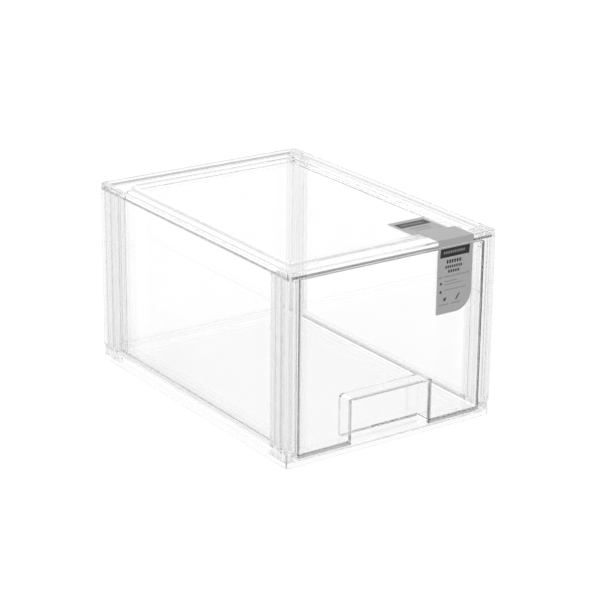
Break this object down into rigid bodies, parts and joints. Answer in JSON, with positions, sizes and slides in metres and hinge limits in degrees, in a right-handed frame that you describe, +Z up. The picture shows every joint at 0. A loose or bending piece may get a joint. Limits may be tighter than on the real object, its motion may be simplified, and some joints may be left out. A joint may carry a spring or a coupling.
{
  "type": "drawer shoe box",
  "caption": "Clear plastic stackable shoe box: a ribbed-corner case with a sunken lid and a full-height drawer with a finger recess that slides out of the front.",
  "frame": {"origin": "on the table under the middle of the box, at the feet's lower faces", "axes": "+Z up, -Y out of the drawer's front, +X to the right of a person facing the drawer"},
  "size_m": [0.24, 0.3404, 0.1938],
  "materials": {
    "clear_plastic": "water-clear polished polystyrene",
    "label_paper": "grey satin printed label paper"
  },
  "bodies": {
    "case": {"top_cover": "clear_plastic", "base_plate": "clear_plastic", "left_side_panel": "clear_plastic", "right_side_panel": "clear_plastic", "back_panel": "clear_plastic", "front_left_post": "clear_plastic", "front_right_post": "clear_plastic", "rear_left_post": "clear_plastic", "rear_right_post": "clear_plastic", "label_lid": "label_paper"},
    "drawer": {"drawer_bin": "clear_plastic", "drawer_front": "clear_plastic", "label_front": "label_paper"}
  },
  "joints": [
    {"name": "drawer_slide", "type": "slide", "parent": "case", "child": "drawer", "axis": [0, -1, 0], "range_m": [0, 0.2815]}
  ]
}
